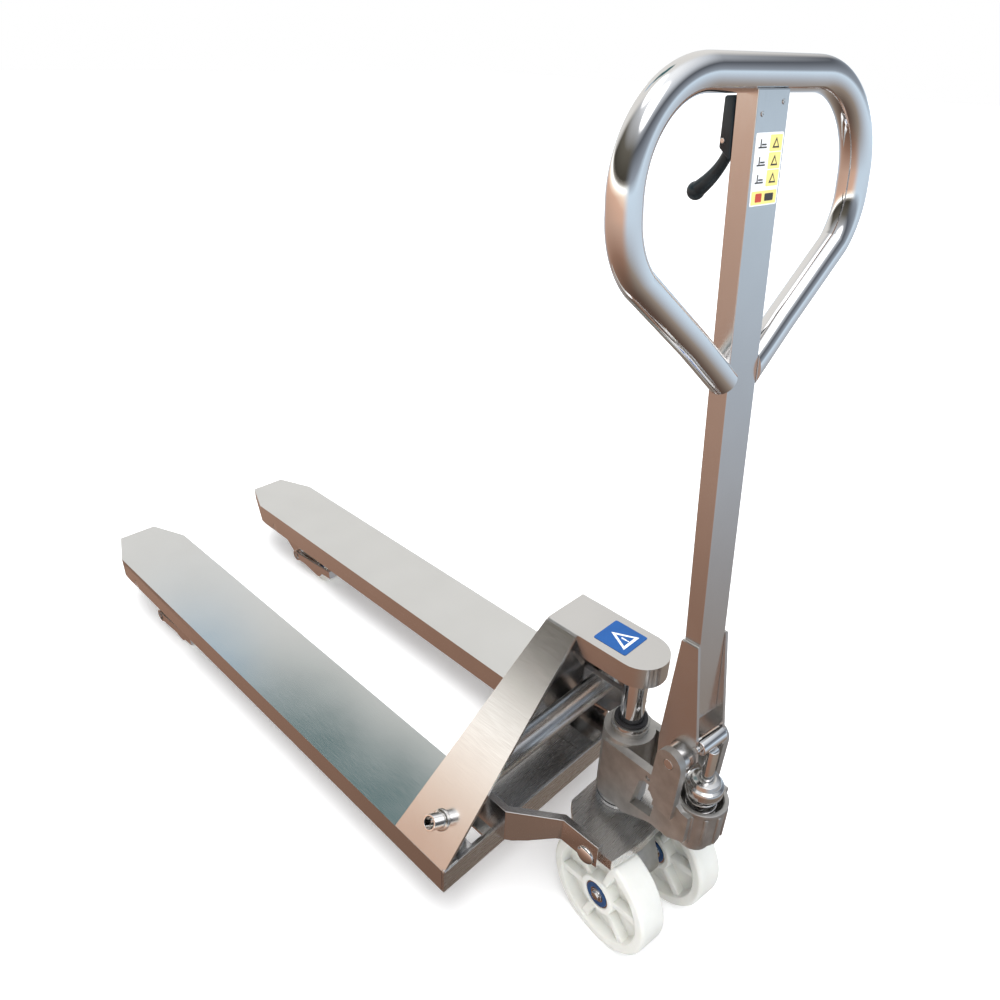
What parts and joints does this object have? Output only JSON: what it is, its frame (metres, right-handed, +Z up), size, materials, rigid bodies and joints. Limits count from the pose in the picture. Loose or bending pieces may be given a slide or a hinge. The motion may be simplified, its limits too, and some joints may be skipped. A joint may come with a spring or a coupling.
{
  "type": "hand pallet truck",
  "caption": "Stainless steel hand pallet truck with forks, lift frame, hydraulic pump head, nylon wheels and a looped steering handle.",
  "frame": {"origin": "middle of the truck's footprint, on the floor", "axes": "+X along the forks towards their tips, +Y to the near side, +Z up"},
  "size_m": [1.577, 0.54, 1.2721],
  "materials": {
    "stainless_satin": "satin brushed stainless sheet",
    "stainless_polished": "polished stainless",
    "cast_stainless": "bead-blasted stainless casting",
    "white_nylon": "white nylon",
    "black_plastic": "black moulded plastic",
    "bearing_seal": "blue-sealed ball bearing"
  },
  "bodies": {
    "base": {"base_plate": "stainless_satin", "link_pin_near": "stainless_polished", "link_pin_far": "stainless_polished", "thrust_bearing": "cast_stainless"},
    "lift_frame": {"fork_near": "stainless_satin", "fork_far": "stainless_satin", "bracket_pin_near": "stainless_polished", "bracket_pin_far": "stainless_polished", "front_wall": "stainless_satin", "side_strip_near": "stainless_satin", "side_strip_far": "stainless_satin", "side_socket": "stainless_polished", "top_lug": "stainless_satin", "cross_member": "stainless_satin", "torsion_shaft": "stainless_polished", "shaft_bracket_near": "stainless_satin", "shaft_bracket_far": "stainless_satin", "lift_piston": "stainless_polished"},
    "rocker": {"torsion_tube": "stainless_satin", "rocker_arm_near": "stainless_satin", "rocker_arm_far": "stainless_satin", "rod_lug_near": "stainless_satin", "rod_lug_far": "stainless_satin"},
    "push_rod_near": {"push_rod_near": "stainless_satin"},
    "push_rod_far": {"push_rod_far": "stainless_satin"},
    "bracket_near": {"roller_bracket_near": "stainless_satin", "rod_pin_near": "stainless_polished", "roller_axle_near": "stainless_polished"},
    "bracket_far": {"roller_bracket_far": "stainless_satin", "rod_pin_far": "stainless_polished", "roller_axle_far": "stainless_polished"},
    "load_roller_near": {"load_roller_near": "white_nylon"},
    "load_roller_far": {"load_roller_far": "white_nylon"},
    "steer_head": {"axle_carrier": "cast_stainless", "steer_axle": "stainless_polished", "pump_body": "cast_stainless", "wiper_ring": "black_plastic", "pivot_pin_near": "stainless_polished", "pivot_pin_far": "stainless_polished"},
    "steer_wheel_near": {"steer_wheel_near": "white_nylon", "bearing_near_inner": "bearing_seal", "bearing_near_outer": "bearing_seal"},
    "steer_wheel_far": {"steer_wheel_far": "white_nylon", "bearing_far_inner": "bearing_seal", "bearing_far_outer": "bearing_seal"},
    "plunger": {"pump_plunger": "stainless_polished", "spring_cap": "stainless_satin", "plunger_spring": "stainless_satin"},
    "valve": {"valve_lever": "stainless_satin"},
    "mast": {"mast_tube": "stainless_satin", "handle_loop": "stainless_polished", "yoke_near": "stainless_satin", "yoke_far": "stainless_satin", "press_pin": "stainless_polished", "lever_housing": "black_plastic", "lever_pin": "stainless_polished"},
    "press_roller": {"press_roller": "stainless_polished"},
    "release_lever": {"release_lever": "black_plastic"},
    "release_rod": {"release_rod": "stainless_satin"}
  },
  "joints": [
    {"name": "lift", "type": "slide", "parent": "base", "child": "lift_frame", "axis": [0, 0, 1], "range_m": [-0.056, 0.05]},
    {"name": "rocker_turn", "type": "hinge", "parent": "lift_frame", "child": "rocker", "pos_m": [-0.42948, 0, 0.2205], "axis": [0, 1, 0], "range_deg": [-13.5, 15.2]},
    {"name": "push_rod_near_turn", "type": "hinge", "parent": "rocker", "child": "push_rod_near", "pos_m": [-0.42948, 0.19, 0.1365], "axis": [0, 1, 0], "range_deg": [-16.8, 15]},
    {"name": "bracket_near_turn", "type": "hinge", "parent": "lift_frame", "child": "bracket_near", "pos_m": [0.62844, 0.19, 0.10987], "axis": [0, 1, 0], "range_deg": [-18.5, 20.5]},
    {"name": "load_roller_near_spin", "type": "hinge", "parent": "bracket_near", "child": "load_roller_near", "pos_m": [0.47302, 0.19, 0.041], "axis": [0, 1, 0], "continuous": true},
    {"name": "push_rod_far_turn", "type": "hinge", "parent": "rocker", "child": "push_rod_far", "pos_m": [-0.42948, -0.19, 0.1365], "axis": [0, 1, 0], "range_deg": [-16.8, 15]},
    {"name": "bracket_far_turn", "type": "hinge", "parent": "lift_frame", "child": "bracket_far", "pos_m": [0.62844, -0.19, 0.10987], "axis": [0, 1, 0], "range_deg": [-18.5, 20.5]},
    {"name": "load_roller_far_spin", "type": "hinge", "parent": "bracket_far", "child": "load_roller_far", "pos_m": [0.47302, -0.19, 0.041], "axis": [0, 1, 0], "continuous": true},
    {"name": "steer", "type": "hinge", "parent": "base", "child": "steer_head", "pos_m": [-0.60948, 0, 0.2], "axis": [0, 0, 1], "range_deg": [-82.7, 97.3]},
    {"name": "steer_wheel_near_spin", "type": "hinge", "parent": "steer_head", "child": "steer_wheel_near", "pos_m": [-0.65651, 0.07357, 0.1], "axis": [0.1271, 0.9919, 0], "continuous": true},
    {"name": "steer_wheel_far_spin", "type": "hinge", "parent": "steer_head", "child": "steer_wheel_far", "pos_m": [-0.67354, -0.05934, 0.1], "axis": [0.1271, 0.9919, 0], "continuous": true},
    {"name": "mast_tilt", "type": "hinge", "parent": "steer_head", "child": "mast", "pos_m": [-0.72226, 0.01445, 0.425], "axis": [-0.1271, -0.9919, 0], "range_deg": [0, 75]},
    {"name": "plunger_travel", "type": "slide", "parent": "steer_head", "child": "plunger", "axis": [0, 0, 1], "range_m": [-0.0475, 0], "deforming": ["plunger_spring"]},
    {"name": "press_roller_spin", "type": "hinge", "parent": "mast", "child": "press_roller", "pos_m": [-0.74536, 0.01741, 0.45796], "axis": [0.1271, 0.9919, 0], "continuous": true},
    {"name": "finger_lever", "type": "hinge", "parent": "mast", "child": "release_lever", "pos_m": [-0.6302, 0.00265, 1.19615], "axis": [0.1271, 0.9919, 0], "range_deg": [-14, 14]},
    {"name": "release_rod_travel", "type": "slide", "parent": "mast", "child": "release_rod", "axis": [0.0906, -0.0116, 0.9958], "range_m": [-0.0034, 0.0034], "stiffness_N_per_m": 3000},
    {"name": "valve_turn", "type": "hinge", "parent": "steer_head", "child": "valve", "pos_m": [-0.68883, 0.01017, 0.3605], "axis": [0.1271, 0.9919, 0], "range_deg": [-6, 6]}
  ],
  "couplings": [
    {"joint": "rocker_turn", "follows": "lift", "rad_per_m": -4.62},
    {"joint": "push_rod_near_turn", "follows": "lift", "rad_per_m": 5.07},
    {"joint": "bracket_near_turn", "follows": "lift", "rad_per_m": -6.2},
    {"joint": "push_rod_far_turn", "follows": "lift", "rad_per_m": 5.07},
    {"joint": "bracket_far_turn", "follows": "lift", "rad_per_m": -6.2},
    {"joint": "plunger_travel", "follows": "mast_tilt", "m_per_rad": -0.036},
    {"joint": "finger_lever", "follows": "release_rod_travel", "rad_per_m": 71.4},
    {"joint": "valve_turn", "follows": "release_rod_travel", "rad_per_m": 25}
  ]
}
